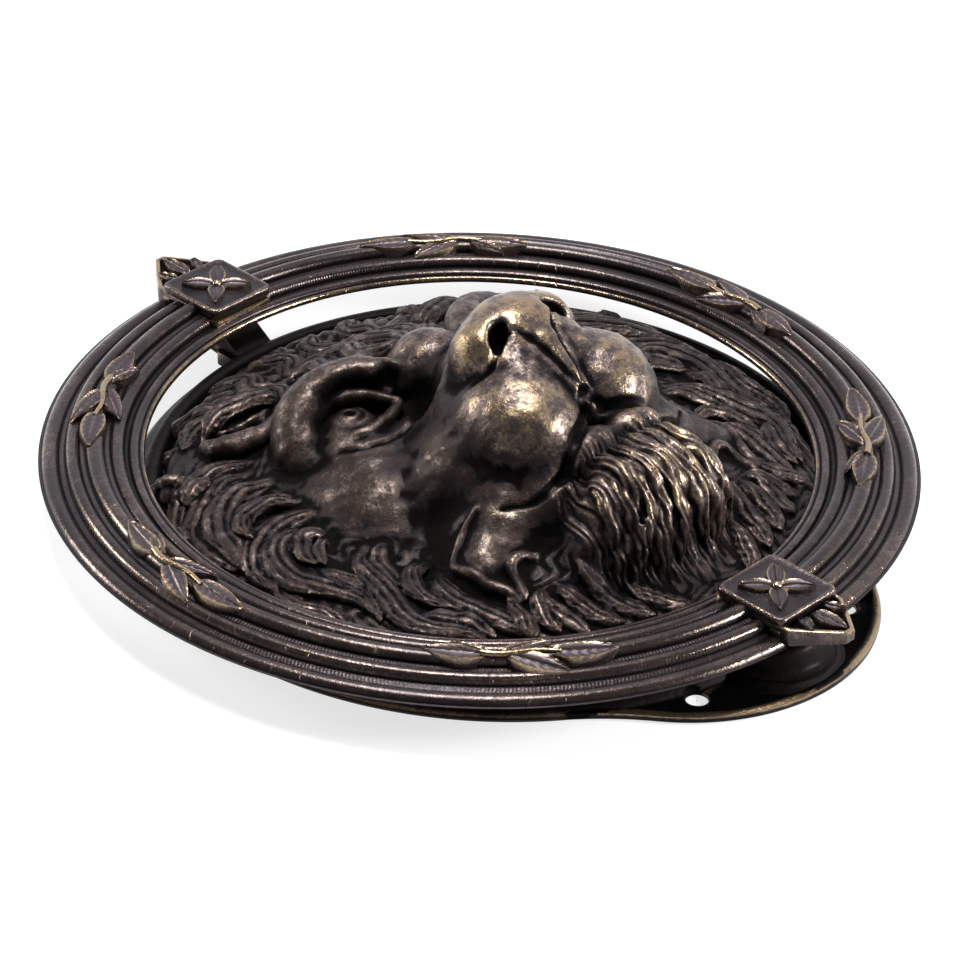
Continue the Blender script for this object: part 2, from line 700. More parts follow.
def face(clay):
    """The bare head without hair: skull, brows, muzzle, mouth and jaw."""
    ball, rope = clay.ball, clay.rope
    clay.shape(np.array(HEAD_LOW), np.array(HEAD_HIGH), mane_cushion, 1.0)
    ball((0, 0, 2), (47, 46, 19.0), 8)                   # skull
    ball((0, 25, 7), (25, 19, 15), 8)                    # forehead
    ball((-27, -1, 10.5), (16, 17, 12.5), 7)             # cheek
    ball((-24, 14, 14), (12, 10, 9), 4)                  # eye mass
    ball((0, -12, 22), (20, 19, 22), 7)                  # muzzle core
    ball((-18.5, -16, 19), (12, 13, 14), 6)              # muzzle side
    ball((-11.2, -21.5, 31), (13, 14.8, 13.4), 2.6)      # whisker pad
    ball((0, 15, 23.5), (9, 9.5, 9.5), 4)                # root of the nose
    rope([(0, 24, 18), (0, 12, 22), (0, 4, 27), (0, -4, 35.5)], [8.0, 6.5, 6.5, 8.5], 3)
    ball((0, -8.5, 42.0), (13, 10, 9.8), 2.5)           # tip of the nose
    ball((-9.4, -8.2, 41), (6.4, 7.2, 8.8), 2.0)         # nostril wing
    rope([(0, -10, 45.5), (0, -16, 44.2), (0, -25, 40.4), (0, -30, 36)], [6.0, 4.6, 2.8, 2.2], 1.0)
    ball((-6.8, -17.0, 39.2), (6.2, 6.8, 6.8), 4)        # from the pad up to the nostril
    brow = [(-34.5, 15, 14.5), (-34.6, 19.8, 17), (-31.5, 24, 20.6), (-25, 25, 24.2), (-18, 21.8, 26.6), (-12, 15, 27.6)]
    rope(smooth_path(brow, 20), along(20, (0, 4.8), (.15, 5.9), (.5, 5.4), (.8, 5.2), (1, 4.4)), 2.0)
    rope([(-11.4, 6.5, 24), (-18.2, 3.2, 21), (-21, -3.5, 18.6)], [2.2, 2.6, 2.0], 3)    # fold by the muzzle


def eyes(clay):
    ball, rope = clay.ball, clay.rope
    ball((-22.5, 15, 27.5), (10, 5.5, 6), 2.0, (0, 24, -28), carve=True)
    ball((-13.5, 8.0, 30), (4.5, 8, 8), 3, carve=True)
    ball((-23.6, 15.2, 17.8), (6.6, 6.2, 6.4), 0.5)
    upper = [(-32, 15.8, 19.2), (-29.8, 19.9, 22), (-24.5, 21.0, 24.4), (-18, 17.6, 25), (-13.6, 12.2, 23.8)]
    fold = [(-33, 18.2, 21), (-29.6, 22.6, 24), (-23.5, 23.2, 26.4), (-17.4, 19.4, 26.8), (-13.4, 14.4, 25.4)]
    lower = [(-32, 15.8, 19.2), (-30.6, 12.2, 20.0), (-26, 9.2, 21.8), (-20, 9.0, 22.6), (-13.8, 11.6, 22.8)]
    bag = [(-31.8, 11.6, 18.2), (-27.4, 6.4, 19.6), (-20.4, 5.6, 21.2), (-14.4, 8.0, 21.8)]
    rope(smooth_path(fold, 20), along(20, .6, 1.2, 1.2, .7), 0.8)
    rope(smooth_path(upper, 20), along(20, .9, 1.5, 1.5, 1.2), 0.5)
    rope(smooth_path(bag, 20), along(20, .5, 1.5, 1.4, .5), 1.2)
    rope(smooth_path(lower, 20) + (0, 0, 0.5), along(20, .9, 1.7, 1.7, 1.2), 0.4)
    turns = np.linspace(0, 2 * math.pi, 22)
    iris = np.column_stack([-24.3 + 3.1 * np.cos(turns), 15.8 + 3.0 * np.sin(turns), 23.7 - 0.12 * np.cos(turns)])
    rope(iris, np.full(22, 0.42), 0.3, carve=True)
    ball((-24.3, 15.8, 24.6), (1.3, 1.3, 1.4), 0.3, carve=True)


def creases(clay):
    """Nostrils, the grooves beside the nose and the slit of the mouth."""
    ball = clay.ball
    ball((-8.2, -11.7, 47.8), (2.9, 1.9, 4.4), 1.6, (0, 0, 24), carve=True)
    clay.groove([(-9.6, -13.4), (-12.0, -14.4), (-14.6, -14.4), (-16.8, -12.6)], along(16, 1.0, 0.9, 0.7, 0.4), 0.6)
    clay.groove([(-7.2, -12.6), (-5.2, -14.6), (-3.6, -17), (-2.7, -20), (-2.1, -23), (-1.6, -26.3), (-0.3, -29.5)],
                along(40, 0.5, 0.75, 0.75, 0.7, 0.65), 0.5)
    clay.groove([(-33.4, 9.6), (-30, 5.4), (-25.6, 3.2), (-19.6, 2.8), (-14.6, 5.4)], along(30, .5, .9, .9, .5), 0.8)
    clay.groove([(0, -29.5), (-5, -33.4), (-12, -37.2), (-20, -37.7), (-27, -33), (-31, -28)],
                along(40, 1.6, 1.5, 1.3, 0.9, 0.5))


# middle, half size and squareness of the block that the beard hangs over
BEARD_MIDDLE, BEARD_HALF, BEARD_SQUARE = (0, -47.0, 12.0), (18.5, 13.5, 21.5), 2.6


def beard_block(x, y, z):
    parts = [(np.abs(v - middle) / half) ** BEARD_SQUARE for v, middle, half in zip((x, y, z), BEARD_MIDDLE, BEARD_HALF)]
    return (sum(parts) ** (1 / BEARD_SQUARE) - 1) * min(BEARD_HALF)


def on_beard(x, turn, lift):
    """A point over the beard's block: turn is 0 on top, 90 on the front wall and below 0 by the lip."""
    turn = np.radians(turn)
    width = (1 - np.minimum(np.abs(x) / BEARD_HALF[0], 0.97) ** BEARD_SQUARE) ** (1 / BEARD_SQUARE)
    out = np.sign(np.sin(turn)) * np.abs(np.sin(turn)) ** (2 / BEARD_SQUARE)
    up = np.sign(np.cos(turn)) * np.abs(np.cos(turn)) ** (2 / BEARD_SQUARE)
    _, middle_y, middle_z = BEARD_MIDDLE
    return np.column_stack([x * (1 + lift / 18), middle_y - (BEARD_HALF[1] * width + lift) * out,
                            middle_z + (BEARD_HALF[2] * width + lift) * up])


def jaw(clay):
    ball = clay.ball
    clay.shape(np.array((-30, -66, 2)), np.array((3, -30, 40)), beard_block, 2.5)
    ball((0, -53, 6), (19, 13, 9), 3)
    ball((-21, -38, 8), (16, 16, 9), 6)
    ball((-14, -44, 11), (10, 12, 11), 4)
    ball((-6, -37.5, 31), (7.5, 4.5, 5), 2)              # lower lip
    ball((-22, -29, 18), (8, 9, 9), 6)                   # corner of the mouth
    ball((-17, -35, 21), (5, 5, 8), 5)


# x at the ridge, sway, first and last turn over the block, half width, how far it stands out
TUFTS = [
    (-1.2, 0.5, -38, 62, 2.6, 1.5), (-5.4, -0.7, -42, 78, 3.3, 1.2), (-9.6, 0.6, -40, 60, 2.4, 1.7),
    (-13.2, -0.8, -38, 80, 3.0, 1.2), (-16.2, 0.6, -20, 62, 2.2, 1.2), (-3.4, 0.6, 20, 88, 2.2, 2.0),
    (-8.0, -0.7, 34, 96, 2.6, 1.9), (-12.4, 0.7, 26, 94, 2.2, 1.9), (-17.0, 0.6, 50, 98, 2.4, 1.4),
]
# plan points, half width, rise over what lies below
LOCKS = [
    ([(-44, 27), (-50, 28), (-59, 24), (-64, 20), (-66, 13), (-67.5, 5)], 3.0, 1.8),
    ([(-40, 30), (-47, 34), (-55, 33), (-62, 28), (-67, 21)], 2.6, 1.3),
    ([(-43, 20), (-50, 22), (-57, 20), (-61, 15), (-63, 8), (-67, 1)], 3.6, 2.4),
    ([(-45, 10), (-49, 14.5), (-53, 15.5), (-56.5, 14.5), (-59, 11.5), (-60, 8)], 2.1, 2.8),
    ([(-46, 5), (-50, 7), (-55, 7.5), (-60, 5.5), (-64, 1), (-67, -6)], 3.2, 1.8),
    ([(-49, 0), (-54, 2.8), (-59, 1.2), (-62, -3), (-62.6, -8), (-61, -12.5), (-59, -17), (-58, -22), (-59.5, -28)],
     2.8, 2.4),
    ([(-66, -6), (-67, -13), (-65, -20), (-65, -28), (-61, -36)], 2.2, 1.4),
    ([(-56, -10), (-57, -14), (-56, -18), (-55, -22), (-57, -26), (-60, -30)], 1.8, 2.0),
    ([(-48.5, -2), (-52, 0), (-55, -2), (-56.5, -4.5), (-57, -8)], 1.7, 2.0),
    ([(-49.5, -3), (-52.5, -4.5), (-54.5, -7), (-56, -10)], 1.1, 1.8),
    ([(-46, -12), (-50, -15), (-52, -20), (-54, -27), (-55.5, -33), (-54, -38.5), (-50.5, -44), (-49, -50)], 2.7, 2.4),
    ([(-44, -14), (-47.5, -17), (-49, -21), (-50, -26)], 1.7, 2.2),
    ([(-41, -25), (-45.5, -25), (-48.5, -28), (-49, -32), (-48, -38)], 1.9, 2.4),
    ([(-42, -29), (-44.5, -33), (-45.5, -38), (-44, -43.5), (-42, -49), (-42, -55)], 2.8, 2.1),
    ([(-53, -36), (-49.5, -40), (-47.5, -44), (-47, -50)], 1.7, 1.8),
    ([(-38, -46), (-39.5, -50), (-42, -56)], 1.9, 2.0),
    ([(-32, -48), (-35.5, -52), (-36.5, -58)], 1.9, 2.1),
    ([(-33, -51), (-32.5, -56), (-32, -62)], 1.7, 1.7),
    ([(-28, -50), (-28, -57), (-24.5, -64.5)], 2.0, 2.0),
    ([(-22, -50), (-22, -58), (-18, -67)], 2.2, 1.9),
    ([(-16, -58), (-14, -64), (-9, -70)], 2.0, 1.6),
    ([(-52, 30), (-55.5, 31), (-58.5, 29)], 2.0, 2.4),
    ([(-18, 44), (-26, 49), (-36, 50), (-44, 47)], 3.2, 1.6),
    ([(-22, 40), (-29, 43.5), (-35, 45), (-41, 43.5)], 2.6, 1.6),
    ([(-2, 24), (-5, 31), (-3, 38), (-7, 44)], 2.6, 1.3),
    ([(-8, 27), (-12, 34), (-10, 41), (-14, 47)], 2.8, 1.3),
    ([(-16, 31), (-20, 37), (-19, 43), (-24, 47)], 2.6, 1.2),
    ([(-3, 42), (-7, 49), (-4, 56), (-9, 62)], 3.0, 1.3),
    ([(-14, 46), (-18, 52), (-16, 57), (-22, 62)], 3.0, 1.3),
    ([(-30, 50), (-33, 55), (-40, 57)], 2.4, 1.2),
    ([(-44, 50), (-50, 49), (-57, 44)], 2.4, 1.2),
]


def hair(clay):
    """Locks that lie on the cushion, each raised over what is below it, and the beard's tufts.
    Returns their lines for the comb."""
    combed = []
    for plan, half, rise in LOCKS:
        count = 5 + 4 * len(plan)
        path = smooth_path(plan, count)
        radius = 1.22 * half * along(count, (0, .4), (.15, .8), (.5, 1), (.8, .8), (1, .15))
        lifted = 0.85 * rise * along(count, (0, .2), (.2, 1), (1, .7)) - radius / LOCK_FLATNESS
        line = np.column_stack([path, clay.surface_at(path) + lifted])
        clay.rope(line, radius, 0.8, LOCK_FLATNESS)
        combed.append((line, radius, 2 if half < 1.8 else 4, 0.5))
    for x, sway, first, last, half, proud in TUFTS:
        t = np.linspace(0, 1, 34)
        over = x * (0.72 + 0.42 * t) + sway * np.sin(6.5 * t + x)
        radius = half * along(34, (0, .35), (.2, .8), (.5, 1), (.8, .8), (1, .15))
        line = on_beard(over, first + (last - first) * t, proud * along(34, .3, 1, 1.3, 1, .7) - radius)
        clay.rope(line, radius, 0.5)
    for x, first, last in ((-4.4, 22, 84), (-11.2, 28, 80)):          # dark gaps between the clumps
        gap = on_beard(x * np.linspace(0.9, 1.12, 20), np.linspace(first, last, 20), along(20, 1.4, .6, .6, 1.4))
        clay.rope(gap, along(20, .5, 1.1, 1.2, .5), 0.5, carve=True)
    return combed


LOCK_FLATNESS = 2.2


JOWL = (-33.4, -36.4)


def jowl(clay):
    """The lip's drooping end at the corner of the mouth, with its raised edge."""
    clay.ball((-27.0, -30.5, 13.0), (9.0, 9.0, 8.5), 5.0)
    clay.ball((-30.5, -34.0, 11.5), (10.0, 6.6, 6.6), 4.0, (0, 14, 12))
    clay.ball((-36.0, -40.0, 10.8), (3.6, 6.4, 3.4), 1.0)
    edge = [(-30, -27.6), (-33, -27.8), (-36, -28.9), (-39.2, -30.9), (-40, -34.5), (-38.9, -39),
            (-37.6, -42.5), (-36.2, -46.5), (-34.2, -44.3), (-33.0, -40.8), (-29.8, -40.6), (-27.5, -42.2)]
    path = smooth_path(edge, 60)
    radius = along(60, .5, 1.3, 1.4, 1.4, 1.2)
    clay.rope(np.column_stack([path, clay.surface_at(path) + 0.1 * radius]), radius, 0.6)


CURL_MIDDLE = np.array((-57.6, 36.2, 7.9))
CURL_SIDE, CURL_UP = np.array((0.707, -0.707, 0)), np.array((0.28, 0.26, 0.92))


def ears(clay):
    """The ear, a flat shell with a rim and hair in it, and the curl outside it. Returns lines for the comb."""
    ball, rope = clay.ball, clay.rope
    ball((-27, 42.5, 9.6), (13.5, 5.8, 6.6), 2, (0, 0, -6))
    rope([(-39, 43.4, 13), (-35.8, 41.8, 14.2), (-31, 40.2, 15.6), (-25, 39.4, 16)], [.6, 1.3, 1.2, .6], 0.5, carve=True)
    rim = [(-42, 41.5, 10.8), (-42, 37.6, 12.4), (-38, 34.6, 13.2), (-33, 33.2, 13.8), (-28, 34.4, 14.2), (-24, 37.4, 14.6)]
    rim = smooth_path(rim, 30)
    rim_radius = along(30, 1.6, 2.7, 2.8, 2.2, 1.4)
    rope(rim, rim_radius, 0.8)
    turns = np.radians(np.linspace(150, 480, 40))
    curl = CURL_MIDDLE + np.outer(3.5 * np.cos(turns), CURL_SIDE) + np.outer(3.3 * np.sin(turns), CURL_UP)
    rope(curl, along(40, 1.1, 1.8, 2.0, 1.9, 1.3), 0.4)
    ball(CURL_MIDDLE, (2.3, 2.3, 2.8), 0.3)
    shell = smooth_path([(-39, 45, 12.6), (-33, 44.6, 15.2), (-25, 43.6, 16.2), (-15, 42, 15.6)], 20)
    return [(shell, along(20, 3.4, 4.4, 4.4, 3), 4, 0.5), (rim, rim_radius, 3, 0.4)]


def build(pitch=HEAD_PITCH):
    clay = Clay(HEAD_LOW, HEAD_HIGH, pitch)
    face(clay)
    jaw(clay)
    eyes(clay)
    creases(clay)
    jowl(clay)
    in_ears = ears(clay)
    clay.ball((0, -BLOCK_Y, 2), (14.2, 14.2, 12), 0.5, carve=True)      # room for the anvil
    clay.paths = in_ears + hair(clay)
    return clay


BLOCK_Y = 83.8


def comb(points, normals, paths):
    """How far strands lift each point: ridges along every lock, small curls on the crown and a loose
    flow over the rest of the mane."""
    lift = np.zeros(len(points))
    taken = np.zeros(len(points))
    flip = np.where(points[:, :1] > 0, (-1, 1, 1), (1, 1, 1))
    left, facing = points * flip, normals * flip
    for line, radius, strands, depth in paths:
        reach = radius.max() * 1.5
        near = np.flatnonzero(((left > line.min(0) - reach) & (left < line.max(0) + reach)).all(1))
        if not len(near):
            continue
        dense = smooth_path(np.column_stack([line, radius]), 80)
        tangent = np.gradient(dense[:, :3], axis=0)
        tangent /= np.linalg.norm(tangent, axis=1)[:, None]
        gap = left[near][:, None, :] - dense[None, :, :3]
        spot = (gap ** 2).sum(2).argmin(1)
        gap = gap[np.arange(len(near)), spot]
        side = np.cross(tangent[spot], facing[near])
        across = (gap * side).sum(1) / dense[spot, 3]
        off = np.linalg.norm(gap, axis=1) / dense[spot, 3]
        window = np.clip(1.3 - off, 0, 0.35) / 0.35
        s = spot / 79
        wave = across + 0.13 * np.sin(s * 9 + strands)
        ridge = np.abs(np.sin(np.pi * strands * (wave + 1) / 2)) ** 0.7 - 0.62
        fine = 0.25 * np.abs(np.sin(np.pi * 3 * strands * (wave + 1) / 2 + 0.7))
        fade = np.interp(s, [0, .08, .92, 1], [.3, 1, 1, .4])
        lift[near] = lift[near] * (1 - window) + depth * (ridge + fine) * window * fade
        taken[near] = np.maximum(taken[near], window)
    x, y, z = left.T
    radius = np.hypot(x, y + 4)
    angle = np.arctan2(y + 4, x)
    bend = angle + 0.10 * np.sin(radius * 0.33 + 5 * angle) + 0.05 * np.sin(radius * 0.9 - 7 * angle)
    flow = np.abs(np.sin(bend * 34)) ** 0.8 + 0.5 * np.abs(np.sin(bend * 71 + 1)) - 0.9
    outside = np.clip(np.hypot(x / 44, (y + 1) / 40) - 1, 0, 0.12) / 0.12 * np.clip((21 - z) / 3, 0, 1)
    curls = np.sin(0.9 * x + 1.7 * np.sin(0.55 * y)) * np.sin(0.85 * y + 1.7 * np.sin(0.6 * x + 1))
    crown_part = np.clip((y - 26) / 8, 0, 1) * np.clip((x + 44) / 6, 0, 1) * np.clip((24 - z) / 3, 0, 1)
    calm = np.clip(np.hypot((x - JOWL[0]) / 7.5, (y - JOWL[1]) / 9) - 1, 0, 0.15) / 0.15
    loose = 0.3 * flow * outside * (1 - crown_part) * calm + 0.55 * curls * crown_part
    beard = np.clip((-38.5 - y) / 2, 0, 1) * np.clip((z - 10) / 4, 0, 1) * np.clip((21 + x) / 2, 0, 1)
    strand = x / (0.8 - 0.012 * (y + 38)) + 0.7 * np.sin(0.42 * y - 0.30 * z + 0.3 * x) + 0.3 * np.sin(0.9 * z + x)
    hairs = 0.62 * (np.abs(np.sin(2.2 * strand)) ** 0.8 - 0.6) + 0.25 * np.sin(1.1 * strand + 1)
    lift = lift + beard * hairs
    loose = loose * (1 - beard)
    uneven = np.sin(0.8 * x + 1.4 * np.sin(0.5 * y)) * np.sin(0.7 * y + 0.5 * z + 1.2 * np.sin(0.45 * x))
    uneven = 0.13 * uneven + 0.05 * np.sin(1.9 * x + 1.3 * z + np.sin(y)) * np.sin(1.7 * y - z)
    return lift + loose * (1 - taken) + uneven

def point_normals(points, quads):
    """Normals averaged over the faces round each point."""
    across = np.cross(points[quads[:, 2]] - points[quads[:, 0]], points[quads[:, 3]] - points[quads[:, 1]])
    total = np.zeros_like(points)
    for corner in range(4):
        for k in range(3):
            total[:, k] += np.bincount(quads[:, corner], across[:, k], len(points))
    return total / np.maximum(np.linalg.norm(total, axis=1), 1e-9)[:, None]


def with_mirror_image(points, quads, pitch):
    """The half at negative X and its mirror image, sewn together along the middle."""
    quads = quads[(points[quads][:, :, 0] < pitch / 2).all(1)]
    points = points.copy()
    middle = np.abs(points[:, 0]) < pitch / 2
    points[middle, 0] = 0
    number = np.where(middle, np.arange(len(points)), np.arange(len(points)) + len(points))
    return np.vstack([points, points * (-1, 1, 1)]), np.vstack([quads, number[quads][:, ::-1]])


def rubbed_hair(points, wear):
    """The beard stands proud and is rubbed more than the mane round it."""
    x, y, z = points.T
    beard = np.clip((-38.5 - y) / 3, 0, 1) * np.clip((z - 11) / 5, 0, 1) * np.clip((20 - np.abs(x)) / 3, 0, 1)
    mane = np.clip(np.hypot(x / 44, (y + 1) / 40) - 1, 0, 0.12) / 0.12 * (1 - beard)
    return wear + 0.55 * beard - 0.08 * mane


def make_head():
    pitch = HEAD_PITCH
    clay = build(pitch)
    points, quads = surface_net(clay.field, clay.low, pitch)
    points, quads = with_mirror_image(points, quads, pitch)
    normals = point_normals(points, quads)
    points = points + normals * comb(points, normals, clay.paths)[:, None]
    quads = quads[(points[quads][:, :, 2] > HEAD_FOOT).any(1)]
    used, quads = np.unique(quads, return_inverse=True)
    points, quads = points[used], quads.reshape(-1, 4)
    points[:, 2] = np.maximum(points[:, 2], HEAD_FOOT)
    head = new_object("lion_head", points, quads)
    if 2 * len(quads) > HEAD_TRIANGLES:
        thin = head.modifiers.new("thin", "DECIMATE")
        thin.ratio = HEAD_TRIANGLES / (2 * len(quads))
        apply_modifiers(head)
    finish_piece(head, HEAD_BRONZE, "plate", "mask", ["lion_mask"], 1.0, walls=0.5)
    change_wear(head, rubbed_hair)


make_head()

# ---------------------------------------------------------------- ring

REED_MIDDLE = 82.9                # radius of the highest reed
RING_BACK = 11.4                  # height of the ring's flat back
RING_STEPS = 360
# distance from the middle reed, crest, half width
REEDS = [(9.4, 13.0, 2.15), (4.65, 14.85, 1.62), (0, 16.3, 1.95), (-4.65, 14.85, 1.62), (-8.3, 13.35, 1.2),
         (-10.0, 12.6, 0.65)]
# distance from the middle reed, floor of the groove there
GROOVES = [(12.0, 11.5), (7.6, 12.2), (6.3, 12.9), (3.1, 14.1), (1.9, 14.3), (-1.9, 14.3), (-3.1, 14.1),
           (-6.3, 12.9), (-7.2, 12.6), (-9.2, 12.2), (-10.7, 11.8)]


def crown(radius):
    """Height of the smooth crown over the reeds' crests."""
    return RING_BACK + 4.9 - 0.042 * (radius - REED_MIDDLE) ** 2


def ring_profile():
    away = np.linspace(12.05, -10.65, 150)
    steps, floors = zip(*sorted(GROOVES))
    height = np.interp(away, steps, floors)
    for middle, crest, half in REEDS:
        inside = np.clip(1 - ((away - middle) / half) ** 2, 0, 1)
        reed = crest - half + half * np.sqrt(inside)
        height = np.where(inside > 0, np.maximum(height, reed), height)
    outer_edge = [(RING_OUTER - 0.5, RING_BACK), (RING_OUTER, RING_BACK + 0.15)]
    back = [(REED_MIDDLE - 10.7, RING_BACK), (79.1, RING_BACK), (79.2, RING_BACK), (84, RING_BACK),
            (88.8, RING_BACK), (88.9, RING_BACK)]
    return back + outer_edge + [(REED_MIDDLE + a, h) for a, h in zip(away, height)]


RING_OUTER = 95.0
POCKET_HALF = 5.4                 # half the width of the hollow in the ring's back over the knuckle
POCKET_TOP = 12.9


def ring_band():
    """The reeded band. Its back is hollowed at the hinge, where the plate's knuckle comes up."""
    angles = np.linspace(0, 2 * math.pi, RING_STEPS, endpoint=False)
    points, faces = swept(ring_profile(), angles, True)
    radius = np.hypot(points[:, 0], points[:, 1])
    back = points[:, 2] <= RING_BACK + 0.01
    over = back & (points[:, 1] > 0) & (np.abs(points[:, 0]) < POCKET_HALF + 0.8) & (radius > 79.15) & (radius < 88.85)
    points[over, 2] = POCKET_TOP
    return points, faces


BLOCK_Y = 83.8
BLOCK_SIDE = 18.0
BLOCK_SEAT = 14.4
TAB_TOP = 15.7
TAB_TIP = 103.5
TAB_TIP_BACK = 13.2
TAB_OUTLINE = [(-9, 84), (9, 84), (9, 90), (8.4, 94.4), (4.8, 99.2), (1.2, 103.5), (-1.2, 103.5), (-4.8, 99.2),
               (-8.4, 94.4), (-9, 90)]


def tab_and_block():
    """The square block under a plaque, with the pointed tab at its outer edge, at the hinge end."""
    square = rounded_square(BLOCK_SIDE, 1.5) + (0, BLOCK_Y)
    block = stack([at_height(square, POCKET_TOP), at_height(square, BLOCK_SEAT)])
    loop = finer(TAB_OUTLINE, 1.2)
    under = RING_BACK + (TAB_TIP_BACK - RING_BACK) * np.clip((loop[:, 1] - 94) / (TAB_TIP - 94), 0, 1)
    under = np.where(loop[:, 1] < 89, POCKET_TOP, under)
    rim = TAB_TOP + 0.5 * np.clip((loop[:, 1] - 95) / 8, 0, 1)
    loops = [at_height(inset(loop, 0.4), under), at_height(loop, under + 0.4), at_height(loop, rim - 0.6),
             at_height(inset(loop, 0.18), rim - 0.15), at_height(inset(loop, 0.55), rim),
             at_height(inset(loop, 1.0), rim - 0.1), at_height(inset(loop, 1.45), rim - 0.75),
             at_height(inset(loop, 2.2), rim - 0.9)]
    return join_solids([block, stack(loops)])


PIN_Y, PIN_Z = 84.0, 8.0
KNUCKLE_RADIUS = 4.2
EAR_INNER, EAR_OUTER = 5.3, 8.9


def knuckle_side(radius, top):
    """Side view, in Y and Z, of a hinge ear that hangs from the ring's back."""
    turns = np.radians(np.linspace(180, 360, 25))
    arc = [(PIN_Y + radius * math.cos(a), PIN_Z + radius * math.sin(a)) for a in turns]
    return np.array(arc + [(PIN_Y + radius, top), (PIN_Y - radius, top)])


def ear():
    loops = []
    for x, shrink in ((EAR_INNER, 0.3), (EAR_INNER + 0.3, 0), (EAR_OUTER - 0.5, 0), (EAR_OUTER, 0.5)):
        side = knuckle_side(KNUCKLE_RADIUS - shrink, RING_BACK + 1)
        loops.append(np.column_stack([np.full(len(side), x), side]))
    return stack(loops)


def turned_over(solid):
    """The same solid at the opposite end of the knocker."""
    points, faces = solid
    return points * (-1, -1, 1), faces


def mirrored_in_x(solid):
    points, faces = solid
    return points * (-1, 1, 1), [list(face)[::-1] for face in faces]


def make_ring():
    block = tab_and_block()
    solids = [ring_band(), block, turned_over(block), ear(), mirrored_in_x(ear())]
    points, faces = join_solids(solids)
    make_piece("reeded_ring", points, faces, RING_BRONZE, "ring", "ring", ["ring"], 1.0, 40)


# A leaf grows from the stem, start degrees from the spray's node. Its heading is in degrees from
# the way the stem runs, outward leaves positive.
SPRAY_LEAVES = [
    (-1.0, 183, 13.4, 6.2), (-0.6, 207, 9.5, 3.8), (1.0, -24, 12.4, 5.0), (1.4, 24, 13.4, 5.4), (7.6, 5, 14.0, 6.2),
]
SPRAY_NODES = [46.7, 123.5, 172.3, 226, 311.5, 356.2]
LEAF_SEAT = -0.25


def on_crown(radius, angle, lift):
    return radius * math.cos(angle), radius * math.sin(angle), crown(radius) + lift


def spray(node):
    """A laurel spray that lies along the middle reed, five leaves on a wavy stem."""
    solids = []
    for start, heading, length, width in SPRAY_LEAVES:
        turn, root = math.radians(heading), math.radians(node + start)

        def place(t, s, turn=turn, root=root):
            outward = t * math.sin(turn) + s * math.cos(turn)
            onward = t * math.cos(turn) - s * math.sin(turn)
            return on_crown(REED_MIDDLE + outward, root + onward / REED_MIDDLE, LEAF_SEAT)

        solids.append(leaf(place, length, width))
    steps = np.linspace(0, 1, 28)
    angles = np.radians(node - 1.8 + 11 * steps)
    line = [on_crown(REED_MIDDLE + 0.5 * math.sin(7 * s), a, 0.2) for s, a in zip(steps, angles)]
    solids.append(tube(line, 0.85 - 0.35 * steps))
    return join_solids(solids)


def make_sprays():
    for index, node in enumerate(SPRAY_NODES):
        points, faces = spray(node)
        make_piece(f"laurel_{index + 1}", points, faces, ORNAMENT_BRONZE, "ring", "ornament",
                   [f"laurel_spray_{index + 1}"], 0.6, 60)


PLAQUE_LOW = 14.7
PLAQUE_TOP = 17.2
PLAQUE_FIELD = 16.8


def plaque():
    """A flat square plate with a thin raised edge."""
    steps = [(0.5, PLAQUE_LOW), (0.15, PLAQUE_LOW + 0.4), (0, 16.2), (0.06, 16.8), (0.22, 17.08), (0.5, PLAQUE_TOP),
             (0.85, 17.14), (1.25, 16.92), (1.7, PLAQUE_FIELD), (3.0, PLAQUE_FIELD), (5.0, PLAQUE_FIELD + 0.04),
             (7.0, PLAQUE_FIELD + 0.06)]
    loops = []
    for inward, z in steps:
        loop = finer(rounded_square(BLOCK_SIDE, 1.7), 1.0)
        scale = 1 - 2 * inward / BLOCK_SIDE
        loops.append(at_height(loop * scale + (0, BLOCK_Y), z))
    return stack(loops)


PETAL_LENGTH, PETAL_WIDTH = 7.9, 4.5


def flower():
    solids = []
    for quarter in range(4):
        turn = (quarter + 0.5) * math.pi / 2

        def place(t, s, turn=turn):
            x = (t + 0.2) * math.cos(turn) - s * math.sin(turn)
            y = (t + 0.2) * math.sin(turn) + s * math.cos(turn)
            return x, y + BLOCK_Y, 16.85 + 0.25 * math.sin(math.pi * t / PETAL_LENGTH) + 0.03 * t

        solids.append(leaf(place, PETAL_LENGTH, PETAL_WIDTH, 0.6, 1))
    turns = np.linspace(0, 2 * math.pi, 20, endpoint=False)
    bud = [(0.05, 18.2), (0.5, 18.1), (0.9, 17.85), (1.05, 17.5), (1.05, 16.7), (0.05, 16.7)]
    points, faces = swept(bud[::-1], turns, True)
    solids.append((points + (0, BLOCK_Y, 0), faces))
    return join_solids(solids)


def tab_leaf():
    """The leaf in the tab, flanked by two shorter ones."""
    solids = []
    for x, y, turn, length, width in ((0, 93.3, 90, 9.0, 4.4), (-3.4, 93.2, 112, 5.2, 3.0), (3.4, 93.2, 68, 5.2, 3.0)):
        angle = math.radians(turn)

        def place(t, s, x=x, y=y, angle=angle):
            return (x + t * math.cos(angle) - s * math.sin(angle), y + t * math.sin(angle) + s * math.cos(angle),
                    15.55 + 0.05 * t)

        solids.append(leaf(place, length, width, 0.9, 3))
    return join_solids(solids)


def make_ends():
    for end, turned_end in (("hinge", False), ("strike", True)):
        parts = (("plaque", plaque, PLAQUE_BRONZE, "ring", 0.8), ("flower", flower, ORNAMENT_BRONZE, "ornament", 0.6),
                 ("tab_leaf", tab_leaf, ORNAMENT_BRONZE, "ornament", 0.6))
        for name, build_part, material, slot, wear in parts:
            solid = build_part()
            if turned_end:
                solid = turned_over(solid)
            make_piece(f"{end}_{name}_cast", *solid, material, "ring", slot, [f"{end}_{name}"], wear, 50)


make_ring()
make_sprays()
make_ends()

# ---------------------------------------------------------------- plate

